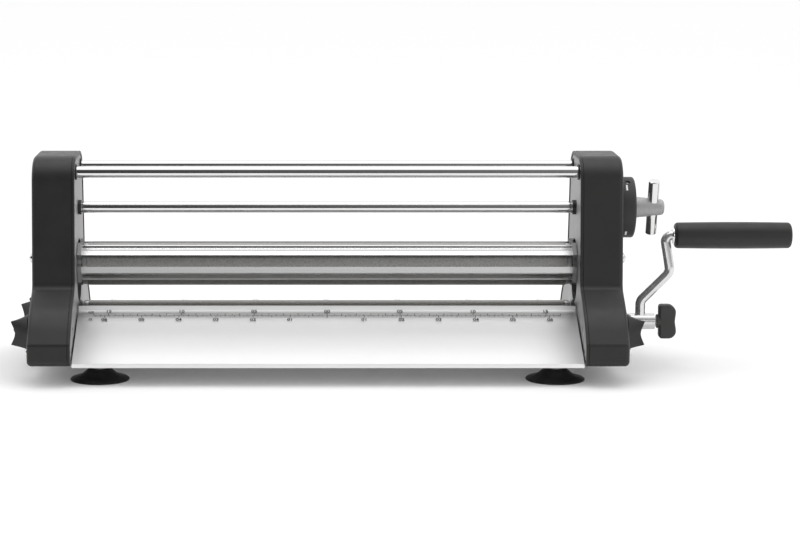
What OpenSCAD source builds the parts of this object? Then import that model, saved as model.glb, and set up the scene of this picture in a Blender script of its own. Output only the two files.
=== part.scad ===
// Hand cranked dough sheeter: two rollers between steel side plates, black moulded covers,
// a sloping tray on each side, and a T handle that lifts the upper roller through racks.
// X runs along the rollers, Y away from the user, Z up from the table.

/* [Rollers] */
// Diameter of both rollers
roller_d = 29.5; // [27:0.5:32]
// Bare length of each roller
roller_len = 330.6; // [200:0.2:400]
// Gap between the rollers as it stands
roller_gap = 11; // [6:0.5:12]
// Thinnest gap the adjuster reaches
gap_min = 0.5; // [0.5:0.1:2]
// Widest gap the adjuster reaches
gap_max = 12.5; // [12:0.1:13]
// Height of the lower roller's axis above the table
lower_z = 30.7; // [30:0.1:33]
// Diameter of the journals that run in the bushes
journal_d = 12; // [10:0.5:13]
// Thickness of the steel collar at each end of a roller
collar_t = 3.3; // [2:0.1:4]
// Diameter of the lower axle where it leaves the covers
axle_d = 8; // [7:0.5:9]
// Diameter of the threaded ends of the lower axle
axle_thread_d = 6; // [5:0.5:6.5]

/* [Side plates] */
// Thickness of the steel side plates
plate_t = 3; // [2:0.1:4]
// Width of the lugs bent inward under the trays
lug_w = 24; // [18:0.5:26]
// Width between the covers' inner walls and the plates' edges
plate_seat_gap = 0.3; // [0.2:0.05:0.5]

/* [Covers] */
// Depth of a cover along the rollers
cover_depth = 28.6; // [26:0.2:34]
// Wall of a cover
cover_wall = 2.5; // [2:0.1:3]
// Height of the covers' top above the table
top_z = 148.3; // [146:0.1:152]
// Height of the covers' bottom above the table
bottom_z = 14.3; // [13:0.1:15.5]
// Half of a cover's depth from front to back at its top
top_half = 30.9; // [29:0.1:33]
// Half of a cover's depth at its waist
waist_half = 40.5; // [39:0.1:43]
// Height of the waist
waist_z = 61.5; // [60:0.5:64]
// Half of a cover's depth at its feet
foot_half = 80.3; // [78:0.1:86]
// Height where the sloping feet turn upright
foot_z = 29; // [26:0.2:31]
// How far the slope of a foot stands out from a straight line
foot_bulge = 4.4; // [3:0.1:5]
// Radius of the top corners
top_r = 18; // [16:0.5:20]
// Radius of the hollow at the waist
waist_r = 6; // [5:0.5:8]
// Radius of the slope's swelling
bulge_r = 60; // [50:1:64]
// Radius of the corners of the feet
foot_r = 4; // [3.5:0.1:6]
// Rounding of the edge round the outer face
edge_r = 3; // [1.5:0.1:3.3]

/* [Adjuster] */
// Height of the adjusting shaft above the upper roller's axis as it stands
shaft_rise = 39.6; // [38:0.2:41]
// Diameter of the adjusting shaft
shaft_d = 8; // [7:0.5:9]
// Gear module of the racks and pinions
gear_m = 1; // [1:0.05:1.1]
// Teeth on each pinion
pinion_teeth = 16; // [15:1:17]
// Width of the racks and pinions
gear_w = 10; // [6:0.5:11]
// Play between the teeth
gear_play = 0.2; // [0.1:0.05:0.3]
// Diameter of the thickness dial
dial_d = 42; // [34:0.5:46]
// Depth of the thickness dial
dial_t = 10.7; // [8:0.1:14]
// Length of the grey hub outside the dial
hub_len = 21.5; // [19:0.5:26]
// Diameter of the hub at the dial
hub_d = 14.9; // [13.5:0.1:18]
// Diameter of the hub at its free end
hub_end_d = 11; // [10:0.1:13]
// Diameter of the T handle's bar
bar_d = 8; // [6:0.5:9]
// Length of the T handle's bar
bar_len = 40; // [30:0.5:60]
// Lean of the bar's upper end towards the user
bar_lean = 16; // [0:1:45]

/* [Bearing blocks] */
// Thickness of the block's rim inside the side plate
rim_t = 2.7; // [2:0.1:3.5]
// Thickness of the slide that holds the block outside the plate
slide_t = 4; // [3:0.1:5]
// Wall of the bearing bushes
bush_wall = 2; // [1:0.1:2.4]
// Thickness of the arm that carries the rack teeth
rack_arm_t = 4.75; // [3:0.05:5]

/* [Strips] */
// Thickness of the guard strips, scrapers and trays
sheet_t = 1.2; // [0.8:0.1:1.5]

/* [Trays] */
// Gap between a tray's edge and the side plate
tray_gap = 0.9; // [0.5:0.1:1.5]
// Distance of a tray's rear edge from the rollers' plane
tray_rear_y = 19; // [18.5:0.1:20]
// Height of a tray at its rear edge
tray_rear_z = 42.2; // [41.8:0.1:42.6]
// Distance from the foot's end to the tray's free edge
tray_foot_in = 6; // [4:0.1:8]
// Height of a tray at its free edge
tray_free_z = 15.9; // [15:0.1:18]
// Height of the lip at the front tray's rear edge
lip_h = 2.7; // [1:0.1:2.8]
// Depth of the hem at a tray's free edge
hem_h = 3.2; // [2:0.1:5]

/* [Crank] */
// Diameter of the crank hub
crank_hub_d = 11.5; // [11:0.1:13]
// Length of the crank hub
crank_hub_len = 27.4; // [25:0.2:34]
// Diameter of the crank's bent rod
crank_d = 7; // [6:0.5:7.5]
// Distance of the rod from the hub's inner end
crank_stub_x = 17.6; // [14:0.2:19]
// Height of the first bend above the axle
crank_bend1 = 14.4; // [12:0.2:18]
// Height of the second bend above the axle
crank_bend2 = 35; // [32:0.5:38]
// Sideways reach of the second bend
crank_reach = 20.1; // [19:0.1:26]
// Distance of the grip's axis from the axle
crank_throw = 60.4; // [56:0.2:80]
// Sideways step back from the second bend to the grip
crank_back = 4.5; // [2:0.5:7]
// Radius of the rod's two lower bends
crank_bend_r = 6; // [5:0.5:7]
// Radius of the rod's bend into the grip
crank_end_r = 4.2; // [3.8:0.1:5]
// Length of the grip
grip_len = 80.7; // [60:0.1:110]
// Diameter of the grip
grip_d = 18.6; // [16:0.2:24]
// Width of the wings of the crank's clamping knob
wing_w = 23.7; // [18:0.1:28]
// Length of the wings
wing_len = 12.4; // [10:0.1:16]
// Thickness of the wings
wing_t = 5; // [4:0.1:7]

/* [Star knobs] */
// Diameter of a star knob across its lobes at the cover
knob_d = 24.4; // [22:0.2:26]
// Diameter across the points at the free end
knob_end_d = 18.4; // [17:0.2:22]
// Diameter across the hollows between the points
knob_hollow_d = 13; // [12:0.2:16]
// Depth of the hollows in the free end
knob_valley = 2.8; // [2:0.1:4]
// Depth of a star knob
knob_t = 12; // [12:0.1:15]
// Points on a star knob
knob_lobes = 3; // [3:1:6]
// Radius of the axle's star knob against the feet's
axle_knob_share = 1.3; // [1:0.05:1.4]
// Distance from the foot's end to a star knob's axis
knob_in = 25.3; // [23:0.1:27]
// Height of the star knobs
knob_z = 33.5; // [33:0.5:36]
// Diameter of the studs
stud_d = 6; // [5:0.5:6.5]

/* [Suction cups] */
// Diameter of a suction cup's rim
cup_d = 40; // [30:0.5:42]
// Height of a suction cup's rubber
cup_h = 5.7; // [5:0.1:7]
// Distance of the cups from the inner face of a side plate
cup_in = 17.7; // [15:0.1:30]
// Distance from the foot's end to a suction cup's axis
cup_foot_in = 30.3; // [28:0.1:31]
// Diameter of the posts that carry the cups
post_d = 10; // [9:0.1:12]

/* [Tie rods] */
// Diameter of the two tie rods
rod_d = 8; // [6:0.5:9]
// Distance of the tie rods from the rollers' plane
rod_y = 18.2; // [17.8:0.1:19]
// Distance of the tie rods below the top of the covers
rod_drop = 10.9; // [10.5:0.1:12]

/* [Hidden] */

$fn = 72;
// Steps of every round corner of an outline
arc_steps = 8;
// How far a cut runs past the face that it opens
over = 1;
// Radial play of a shaft in its bush
fit = 0.05;
// Radial play of a screw or stud in its hole
screw_fit = 0.1;
// Gap between faces that pass each other
run_gap = 0.3;

// Distances along X from the machine's middle
roller_end_x = roller_len / 2;
collar_end_x = roller_end_x + collar_t;
rim_in_x = collar_end_x + run_gap;
plate_in_x = rim_in_x + rim_t + run_gap;
plate_out_x = plate_in_x + plate_t;
face_x = plate_in_x + cover_depth;
cavity_x = face_x - cover_wall;
slide_in_x = plate_out_x + run_gap;
slide_out_x = slide_in_x + slide_t;
gear_out_x = cavity_x - cover_wall - run_gap;
gear_in_x = gear_out_x - gear_w;
block_out_x = slide_out_x + slide_t + run_gap;
knob_in_x = face_x + run_gap;
knob_out_x = knob_in_x + knob_t;
hub_in_x = face_x + run_gap;
crank_rod_x = hub_in_x + crank_stub_x;
hub_out_x = hub_in_x + crank_hub_len;
ferrule_t = 1.4;
ferrule_d = 12;
crank_end = [crank_rod_x + crank_reach - crank_back, lower_z + crank_throw];
crank_elbow = [crank_rod_x + crank_reach, lower_z + crank_bend2];
ferrule_x = crank_end.x + tangent_len(crank_elbow, crank_end, crank_end + [over, 0], crank_end_r);
grip_in_x = ferrule_x + ferrule_t + run_gap;
grip_out_x = grip_in_x + grip_len;

// The origin is under the middle of the whole object's box
machine_x = (knob_out_x - grip_out_x) / 2;

// Heights and radii
upper_z = lower_z + roller_d + roller_gap;
travel_down = roller_gap - gap_min;
travel_up = gap_max - roller_gap;
block_r = roller_d / 2;
shaft_z = upper_z + shaft_rise;
bush_d = journal_d + 2 * fit + 2 * bush_wall;
slot_spare = 1;
slot_half = block_r + run_gap;
slide_half_w = slot_half + slide_t;
slide_half_h = block_r;
housing_d = bush_d + 2 * bush_wall;
ring_nut_t = plate_t;
ring_nut_d = housing_d + 2 * plate_t;
plate_inset = cover_wall + plate_seat_gap;
plate_bottom_z = bottom_z + plate_inset;
lug_top_z = plate_bottom_z + plate_t;
cup_x = plate_in_x - cup_in;
tray_x = plate_in_x - tray_gap;
knob_y = foot_half - knob_in;
cup_y = foot_half - cup_foot_in;
tray_free_y = foot_half - tray_foot_in;
tray_slope = (tray_rear_z - tray_free_z) / (tray_free_y - tray_rear_y);
rod_z = top_z - rod_drop;

// Fasteners
cover_screw_d = 4;
cover_screw_head_d = 7.2;
cover_screw_head_h = 2.6;
boss_wall = 2.4;
cover_screw_drop_share = 0.5;
small_screw_d = 3.5;
small_head_d = 7;
small_head_t = 2;
rod_screw_d = 5;
rod_screw_depth = 12;
rod_head_d = 8;
rod_head_t = 2.5;
rod_collar_t = 1.2;
rod_collar_wall = 1.3;
clip_t = 1;
clip_wall = 1.6;
groove_depth = 0.6;
nut_t = 2.5;
nut_af = 8;
post_stud_d = 5;
knob_nut_t = 5;
knob_nut_af = 11;
bush_flange_t = 1.5;
bush_flange_wall = 1.5;
shaft_bush_wall = 1;
shaft_bush_out = 2.3;
pin_d = 3;
set_screw_d = 3;
bar_chamfer = 0.8;
grip_end_r = 2.5;
thread_out = 1.4;
wing_hub_d = 9.8;
wing_hub_t = 3.2;
knob_cap_t = 3;
knob_bottom_x = knob_out_x - knob_valley - knob_cap_t;
tray_screw_y = 33;
tray_screw_z = 27;
side_flange_y = 27;
strip_margin = 1.6;

// Height of a cover screw's pair above the waist and inside the feet
upper_screw = [waist_half - 10.5, waist_z + 18.5];
lower_screw = [foot_half - 13.3, bottom_z + 7.7];

function unit(v) = v / norm(v);
function across(v) = [-v.y, v.x];
function turn(a, b, c) = (b.x - a.x) * (c.y - b.y) - (b.y - a.y) * (c.x - b.x);
function half_angle(a, b, c) = acos(unit(a - b) * unit(c - b)) / 2;
function tangent_len(a, b, c, r) = r / tan(half_angle(a, b, c));
function near_angle(a) = a > 180 ? a - 360 : a < -180 ? a + 360 : a;

// Points of the arc that rounds corner b of an outline by r, drawn inset from the outline
function fillet(a, b, c, r, inset) =
    let (u = unit(a - b), v = unit(c - b), touch = tangent_len(a, b, c, r))
    let (centre = b + unit(u + v) * r / sin(half_angle(a, b, c)))
    let (from = b + u * touch - centre, to = b + v * touch - centre)
    let (start = atan2(from.y, from.x))
    let (sweep = near_angle(atan2(to.y, to.x) - start))
    let (drawn_r = turn(a, b, c) > 0 ? r - inset : r + inset)
    [for (i = [0:arc_steps])
        let (angle = start + sweep * i / arc_steps)
        centre + drawn_r * [cos(angle), sin(angle)]];

// Outline of a cover seen along X, inset from its outer surface
foot_corner = [foot_half, foot_z];
waist_corner = [waist_half, waist_z];
bulge_share = 0.59;
bulge_corner = waist_corner + (foot_corner - waist_corner) * bulge_share
    + foot_bulge * across(unit(foot_corner - waist_corner));
function half_corners() = [[foot_half, bottom_z], foot_corner, bulge_corner, waist_corner,
    [top_half, top_z]];
function corners() = concat(half_corners(),
    [for (i = [4:-1:0]) [-half_corners()[i].x, half_corners()[i].y]]);
corner_radii = [foot_r, foot_r, bulge_r, waist_r, top_r, top_r, waist_r, bulge_r, foot_r, foot_r];
function profile(inset) =
    let (c = corners(), n = len(c))
    [for (i = [0:n - 1])
        each fillet(c[(i + n - 1) % n], c[i], c[(i + 1) % n], corner_radii[i], inset)];

// Outline of a bent sheet of thickness t whose middle follows the path
function side_of(path, i, t) =
    let (n = len(path))
    let (before = i == 0 ? unit(path[1] - path[0]) : unit(path[i] - path[i - 1]))
    let (after = i == n - 1 ? before : unit(path[i + 1] - path[i]))
    let (mid = unit(before + after))
    path[i] + across(mid) * t / 2 / (mid * after);
function sheet(path, t) = concat(
    [for (i = [0:len(path) - 1]) side_of(path, i, -t)],
    [for (i = [len(path) - 1:-1:0]) side_of(path, i, t)]);

// Half the angle that a pinion tooth fills at radius r
function involute(a) = tan(a) * 180 / PI - a;
function tooth_half(r, base_r, pitch_r) =
    let (at_pitch = 90 / pinion_teeth - gear_play / 4 / pitch_r * 180 / PI)
    at_pitch + involute(pressure) - (r > base_r ? involute(acos(base_r / r)) : 0);
pressure = 20;
pitch_r = gear_m * pinion_teeth / 2;
base_r = pitch_r * cos(pressure);
root_r = pitch_r - 1.25 * gear_m;
addendum_share = 0.95;
tip_r = pitch_r + gear_m * addendum_share;
rack_pitch = PI * gear_m;
flank_r = [root_r, base_r, pitch_r, (pitch_r + tip_r) / 2, tip_r];
function polar(r, a) = r * [cos(a), sin(a)];
function pinion_outline() = [for (tooth = [0:pinion_teeth - 1], side = [-1, 1], i = [0:4])
    let (r = flank_r[side < 0 ? i : 4 - i])
    polar(r, tooth * 360 / pinion_teeth + side * tooth_half(r, base_r, pitch_r))];

// The rack's teeth meet the pinion at the height of the adjusting shaft over the whole travel
rack_teeth = ceil((travel_up + travel_down) / rack_pitch) + 4;
rack_top_z = rack_tooth_z(rack_teeth);
function rack_tooth_z(i) = shaft_z + (i - 2.5 - floor(travel_up / rack_pitch)) * rack_pitch;
rack_root_y = pitch_r + 1.25 * gear_m;
rack_tip_y = pitch_r - gear_m * addendum_share;
function rack_half(y) = rack_pitch / 4 - gear_play / 4 + (y - pitch_r) * tan(pressure);
function rack_tooth(i) = [for (p = [[-1, rack_root_y], [-1, rack_tip_y], [1, rack_tip_y], [1, rack_root_y]])
    [p[1], rack_tooth_z(i) + p[0] * rack_half(p[1])]];
function rack_outline() = concat(
    [for (i = [0:rack_teeth - 1]) each rack_tooth(i)],
    [[rack_root_y, rack_top_z], [rack_root_y + rack_arm_t, rack_top_z],
        [rack_root_y + rack_arm_t, upper_z], [rack_root_y, upper_z]]);

// Paths of the strips beside a roller, from its axis, as shares of the roller's radius
guard_shares = [[-0.68, 0.89], [-0.9, 0.74], [-1.02, 0.55]];
scraper_shares = [[-1.085, 0], [-1.22, -0.237], [-0.9, -0.56]];
lower_scraper_shares = [[-1.3, -0.1], [-0.9, -0.56]];
function strip_path(shares) = [for (p = shares) p * roller_d / 2];
function mid_of(path) = (path[0] + path[len(path) - 1]) / 2;
function strip_angle(path) =
    let (d = path[len(path) - 1] - path[0])
    atan2(d.y, d.x);
function strip_len(path) = norm(path[len(path) - 1] - path[0]);

// Moves what is drawn about the machine's middle to the object's own origin
module machine() {
    translate([machine_x, 0, 0]) children();
}

// Draws its children on the right and mirrored on the left
module both_ends() {
    children();
    mirror([1, 0, 0]) children();
}

// Draws its children at the front and mirrored at the back
module both_faces() {
    children();
    mirror([0, 1, 0]) children();
}

// Rod along X, on the axis at y and z
module rod_x(from, to, d, y = 0, z = 0) {
    translate([from, y, z]) rotate([0, 90, 0]) cylinder(d = d, h = to - from);
}

// Flat outline in Y and Z, extruded along X
module slab(from, to) {
    translate([from, 0, 0]) rotate([90, 0, 90]) linear_extrude(to - from) children();
}

// Shape turned about an axis along X, drawn as radius and distance along X
module turned_x(y = 0, z = 0) {
    translate([0, y, z]) rotate([0, 90, 0]) rotate([0, 0, 90]) rotate_extrude() children();
}

// Solid between equally long rings of points
module skin(rings) {
    n = len(rings[0]);
    points = [for (ring = rings) each ring];
    last = (len(rings) - 1) * n;
    polyhedron(points, concat(
        [[for (i = [0:n - 1]) i]],
        [[for (i = [n - 1:-1:0]) last + i]],
        [for (k = [0:len(rings) - 2], i = [0:n - 1])
            let (a = k * n + i, b = k * n + (i + 1) % n)
            each [[a, a + n, b], [b, a + n, b + n]]]));
}

// Hexagonal nut along X
module nut_x(from, to, af, bore_d, y, z) {
    difference() {
        translate([from, y, z]) rotate([0, 90, 0]) cylinder(d = af / cos(30), h = to - from, $fn = 6);
        rod_x(from - over, to + over, bore_d, y, z);
    }
}

// Places of the four cover screws of one cover
module at_cover_screws() {
    for (p = [upper_screw, lower_screw], s = [-1, 1]) translate([0, s * p.x, p.y]) children();
}

module at_knobs() {
    for (s = [-1, 1]) translate([0, s * knob_y, knob_z]) children();
}

module at_cups() {
    for (s = [-1, 1]) translate([cup_x, s * cup_y, 0]) children();
}

// Side plate on the right: a steel plate with lugs bent inward, and its openings
module side_plate() {
    difference() {
        union() {
            slab(plate_in_x, plate_out_x) polygon(profile(plate_inset));
            for (s = [-1, 1]) translate([cup_x, s * cup_y, plate_bottom_z]) {
                cylinder(d = lug_w, h = plate_t);
                translate([0, -lug_w / 2, 0]) cube([plate_in_x + plate_t / 2 - cup_x, lug_w, plate_t]);
            }
        }
        slab(plate_in_x - over, plate_out_x + over) block_slot();
        rod_x(plate_in_x - over, plate_out_x + over, shaft_bush_d, 0, shaft_z);
        rod_x(plate_in_x - over, plate_out_x + over, housing_d, 0, lower_z);
        for (s = [-1, 1]) {
            rod_x(plate_in_x - over, plate_out_x + over, rod_screw_d + 2 * screw_fit, s * rod_y, rod_z);
            rod_x(plate_in_x - over, plate_out_x + over, small_screw_d + 2 * screw_fit,
                s * tray_screw_y, tray_screw_z);
        }
        at_cover_screws() rod_x(plate_in_x - over, plate_out_x + over, cover_screw_d + 2 * screw_fit);
        at_knobs() rod_x(plate_in_x - over, plate_out_x + over, stud_d + 2 * screw_fit);
        at_cups() translate([0, 0, plate_bottom_z - over])
            cylinder(d = post_stud_d + 2 * screw_fit, h = plate_t + 2 * over);
    }
}
shaft_bush_d = shaft_d + 2 * fit + 2 * shaft_bush_wall;

// Slot with round ends in which a bearing block rises and falls
module block_slot() {
    low = upper_z - travel_down - slot_spare;
    high = upper_z + travel_up + slot_spare;
    union() {
        translate([0, low]) circle(r = slot_half);
        translate([0, high]) circle(r = slot_half);
        translate([-slot_half, low]) square([2 * slot_half, high - low]);
    }
}

module left_side_plate() {
    color("silver") machine() mirror([1, 0, 0]) side_plate();
}

module right_side_plate() {
    color("silver") machine() side_plate();
}

// Cover on the right: a moulded shell with a rounded outer edge and bosses for its screws
module cover() {
    difference() {
        union() {
            difference() {
                rounded_slab();
                slab(plate_in_x - over, cavity_x) polygon(profile(cover_wall));
            }
            at_cover_screws() rod_x(plate_out_x, cavity_x + cover_wall / 2,
                cover_screw_d + 2 * screw_fit + 2 * boss_wall);
            at_knobs() rod_x(plate_out_x + knob_nut_t + run_gap, cavity_x + cover_wall / 2,
                stud_d + 2 * screw_fit + 2 * boss_wall);
        }
        at_cover_screws() rod_x(plate_in_x, face_x + over, cover_screw_d + 2 * screw_fit);
        at_knobs() rod_x(plate_in_x, face_x + over, stud_d + 2 * screw_fit);
        rod_x(cavity_x - over, face_x + over, axle_d + 2 * run_gap, 0, lower_z);
    }
}

// Cover's outside, its outer edge rounded in steps
module rounded_slab() {
    edge_steps = 5;
    slab(plate_in_x, face_x - edge_r) polygon(profile(0));
    for (k = [1:edge_steps])
        slab(plate_in_x, face_x - edge_r + edge_r * sin(90 * k / edge_steps))
            polygon(profile(edge_r * (1 - cos(90 * (k - 0.5) / edge_steps))));
}

module left_cover() {
    color([0.12, 0.12, 0.13]) machine() mirror([1, 0, 0]) cover();
}

module right_cover() {
    color([0.12, 0.12, 0.13]) machine() difference() {
        cover();
        rod_x(cavity_x - over, face_x + over, shaft_d + 2 * run_gap, 0, shaft_z);
    }
}

// Domed screws that hold the covers to the plates
module cover_screw() {
    dome = [for (i = [0:arc_steps - 1])
        let (a = 90 * i / arc_steps)
        [cover_screw_head_d / 2 * cos(a), face_x + cover_screw_head_h * sin(a)]];
    union() {
        rod_x(plate_in_x + run_gap, face_x + cover_screw_head_h / 2, cover_screw_d);
        turned_x() polygon(concat([[0, face_x]], dome, [[0, face_x + cover_screw_head_h]]));
    }
}

module cover_screws() {
    color("silver") machine() both_ends() at_cover_screws() cover_screw();
}

// Tie rod between the plates, with a tapped hole in each end
module tie_rod() {
    difference() {
        rod_x(-plate_in_x, plate_in_x, rod_d, rod_y, rod_z);
        both_ends() rod_x(plate_in_x - rod_screw_depth - over, plate_in_x + over,
            rod_screw_d + 2 * fit, rod_y, rod_z);
    }
}

module front_top_rod() {
    color("gainsboro") machine() mirror([0, 1, 0]) tie_rod();
}

module back_top_rod() {
    color("gainsboro") machine() tie_rod();
}

module rod_collars() {
    color([0.1, 0.1, 0.1]) machine() both_ends() both_faces() difference() {
        rod_x(plate_in_x - rod_collar_t, plate_in_x, rod_d + 2 * rod_collar_wall, rod_y, rod_z);
        rod_x(plate_in_x - rod_collar_t - over, plate_in_x + over, rod_d, rod_y, rod_z);
    }
}

module rod_screws() {
    color("silver") machine() both_ends() both_faces() union() {
        rod_x(plate_in_x - rod_screw_depth, plate_out_x + rod_head_t / 2, rod_screw_d, rod_y, rod_z);
        rod_x(plate_out_x, plate_out_x + rod_head_t, rod_head_d, rod_y, rod_z);
    }
}

// Flanged bushes of the adjusting shaft
module shaft_bushes() {
    color([0.1, 0.1, 0.1]) machine() both_ends() difference() {
        union() {
            rod_x(plate_in_x - shaft_bush_out, plate_out_x + bush_flange_t, shaft_bush_d, 0, shaft_z);
            rod_x(plate_out_x, plate_out_x + bush_flange_t, shaft_bush_d + 2 * bush_flange_wall,
                0, shaft_z);
        }
        rod_x(plate_in_x - shaft_bush_out - over, plate_out_x + bush_flange_t + over,
            shaft_d + 2 * fit, 0, shaft_z);
    }
}

// Ear that carries the end of a strip, beside a roller's axis
module strip_ear(path) {
    for (s = [-1, 1]) scale([s, 1]) translate(mid_of(path)) rotate(strip_angle(path))
        square([strip_len(path) + 2 * strip_margin, 2 * strip_margin + 2 * sheet_t], center = true);
}

// Housings of the lower roller's bushes, with ears for the lower scrapers
module lower_bearing_housings() {
    color("darkgray") machine() both_ends() difference() {
        union() {
            intersection() {
                slab(rim_in_x, plate_in_x) translate([0, lower_z]) {
                    circle(r = block_r);
                    strip_ear(strip_path(lower_scraper_shares));
                }
                translate([0, -foot_half, plate_bottom_z]) cube([face_x, 2 * foot_half, top_z]);
            }
            rod_x(rim_in_x, plate_out_x + ring_nut_t + plate_t, housing_d, 0, lower_z);
        }
        rod_x(rim_in_x - over, plate_out_x + ring_nut_t + plate_t + over, bush_d, 0, lower_z);
    }
}

module housing_ring_nuts() {
    color("silver") machine() both_ends() difference() {
        rod_x(plate_out_x, plate_out_x + ring_nut_t, ring_nut_d, 0, lower_z);
        rod_x(plate_out_x - over, plate_out_x + ring_nut_t + over, housing_d, 0, lower_z);
    }
}

module lower_bushes() {
    color("peru") machine() both_ends() difference() {
        rod_x(rim_in_x, plate_out_x + ring_nut_t + plate_t, bush_d, 0, lower_z);
        rod_x(rim_in_x - over, plate_out_x + ring_nut_t + plate_t + over,
            journal_d + 2 * fit, 0, lower_z);
    }
}

// Strip at the front of a roller whose axis is at height z
module strip(shares, z) {
    slab(-rim_in_x, rim_in_x) translate([0, z]) polygon(sheet(strip_path(shares), sheet_t));
}

module front_lower_scraper() {
    color("gainsboro") machine() strip(lower_scraper_shares, lower_z);
}

module back_lower_scraper() {
    color("gainsboro") machine() mirror([0, 1, 0]) strip(lower_scraper_shares, lower_z);
}

module front_guard_strip() {
    color("gainsboro") machine() strip(guard_shares, upper_z);
}

module back_guard_strip() {
    color("gainsboro") machine() mirror([0, 1, 0]) strip(guard_shares, upper_z);
}

module front_upper_scraper() {
    color("gainsboro") machine() strip(scraper_shares, upper_z);
}

module back_upper_scraper() {
    color("gainsboro") machine() mirror([0, 1, 0]) strip(scraper_shares, upper_z);
}

// Tray at the front: a folded sheet that stands on the plates' lugs by its side flanges
function tray_z(y) = tray_rear_z - (y - tray_rear_y) * tray_slope;
module tray(lip = []) {
    under = sheet_t / cos(atan(tray_slope)) / 2;
    path = concat(lip, [[-tray_rear_y, tray_rear_z - under],
        [-tray_free_y, tray_free_z - under], [-tray_free_y, tray_free_z - hem_h]]);
    lug_end_y = cup_y + lug_w / 2;
    difference() {
        union() {
            slab(-tray_x, tray_x) polygon(sheet(path, sheet_t));
            both_ends() slab(tray_x - sheet_t, tray_x) polygon([
                [-side_flange_y, tray_z(side_flange_y) - under], [-side_flange_y, lug_top_z],
                [-lug_end_y + sheet_t, lug_top_z], [-lug_end_y, tray_z(lug_end_y) - under]]);
        }
        both_ends() rod_x(tray_x - sheet_t - over, tray_x + over, small_screw_d,
            -tray_screw_y, tray_screw_z);
    }
}

module front_tray() {
    color("whitesmoke") machine() tray([[-tray_rear_y, tray_rear_z + lip_h]]);
}

module back_tray() {
    color("whitesmoke") machine() mirror([0, 1, 0]) tray();
}

// Screws that hold the trays' side flanges to the plates
module tray_screws() {
    color("silver") machine() both_ends() both_faces() union() {
        rod_x(tray_x - 2 * sheet_t, plate_out_x + small_head_t / 2, small_screw_d,
            tray_screw_y, tray_screw_z);
        rod_x(plate_out_x, plate_out_x + small_head_t, small_head_d, tray_screw_y, tray_screw_z);
    }
}

// Rubber suction cup: a flared skirt over a shallow dish, with a socket for its post
cup_lip_t = 0.9;
cup_lip_w = 1.2;
cup_dish_h = 2.4;
socket_floor = 0.7;
post_wall = 1.2;
flare_steps = 6;
module cup() {
    neck_r = post_d / 2 + post_wall;
    rim_r = cup_d / 2;
    flare = [for (i = [0:flare_steps])
        let (a = 90 * i / flare_steps)
        [rim_r - (rim_r - neck_r) * sin(a), cup_lip_t + (cup_h - cup_lip_t) * (1 - cos(a))]];
    dish_r = rim_r - cup_lip_w;
    dish = [for (i = [flare_steps - 1:-1:0])
        let (a = 90 * i / flare_steps)
        [dish_r * (1 - sin(a)), cup_dish_h * (1 - cos(a))]];
    difference() {
        rotate_extrude() polygon(concat([[rim_r, 0]], flare, [[0, cup_h], [0, cup_dish_h]], dish));
        translate([0, 0, cup_dish_h + socket_floor]) cylinder(d = post_d - 2 * post_wall, h = cup_h);
    }
}

module suction_cups() {
    color([0.15, 0.15, 0.15]) machine() both_ends() at_cups() cup();
}

// Posts that carry the cups under the lugs
module cup_posts() {
    color("gray") machine() both_ends() at_cups() union() {
        translate([0, 0, cup_dish_h + socket_floor]) cylinder(d = post_d - 2 * post_wall,
            h = plate_bottom_z - cup_dish_h - socket_floor);
        translate([0, 0, cup_h]) cylinder(d = post_d, h = plate_bottom_z - cup_h);
        translate([0, 0, plate_bottom_z - over]) cylinder(d = post_stud_d,
            h = plate_t + nut_t + over);
    }
}

module cup_nuts() {
    color("silver") machine() both_ends() at_cups() translate([0, 0, lug_top_z]) difference() {
        cylinder(d = nut_af / cos(30), h = nut_t, $fn = 6);
        translate([0, 0, -over]) cylinder(d = post_stud_d, h = nut_t + 2 * over);
    }
}

module knob_nuts() {
    color("silver") machine() both_ends() for (s = [-1, 1])
        nut_x(plate_out_x, plate_out_x + knob_nut_t, knob_nut_af, stud_d + 2 * fit, s * knob_y, knob_z);
}

// Adjusting shaft with its pinions, dial, hub and T handle
hub_face_x = knob_in_x + dial_t;
bar_place_share = 0.64;
bar_x = hub_face_x + hub_len * bar_place_share;
shaft_end_x = bar_x - bar_d / 2 - run_gap;
module adjusting_shaft() {
    color("gainsboro") machine() rod_x(-gear_out_x, shaft_end_x, shaft_d, 0, shaft_z);
}

module pinion() {
    difference() {
        union() {
            translate([0, 0, shaft_z]) slab(gear_in_x, gear_out_x) polygon(pinion_outline());
            rod_x(gear_in_x - bush_flange_t, gear_in_x, 2 * root_r, 0, shaft_z);
        }
        rod_x(gear_in_x - bush_flange_t - over, gear_out_x + over, shaft_d, 0, shaft_z);
    }
}

module left_pinion() {
    color("goldenrod") machine() mirror([1, 0, 0]) pinion();
}

module right_pinion() {
    color("goldenrod") machine() pinion();
}

dial_edge_r = 1.6;
set_screw_angle = 63;
module thickness_dial() {
    r = dial_d / 2;
    rim = [for (i = [0:arc_steps])
        let (a = 90 * i / arc_steps)
        [r - dial_edge_r + dial_edge_r * cos(a), hub_face_x - dial_edge_r + dial_edge_r * sin(a)]];
    color([0.12, 0.12, 0.13]) machine() difference() {
        turned_x(0, shaft_z) polygon(concat([[0, knob_in_x], [r, knob_in_x]], rim, [[0, hub_face_x]]));
        rod_x(knob_in_x - over, hub_face_x + over, shaft_d, 0, shaft_z);
        at_set_screw() cylinder(d = set_screw_d, h = dial_d);
    }
}

// Place and direction of the dial's set screw, which points away from the shaft
module at_set_screw() {
    translate([knob_in_x + dial_t / 2, 0, shaft_z]) rotate([90 - set_screw_angle, 0, 0]) children();
}

module dial_set_screw() {
    color("dimgray") machine() at_set_screw() translate([0, 0, shaft_d / 2])
        cylinder(d = set_screw_d, h = dial_d / 2 - shaft_d / 2 - over);
}

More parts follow.
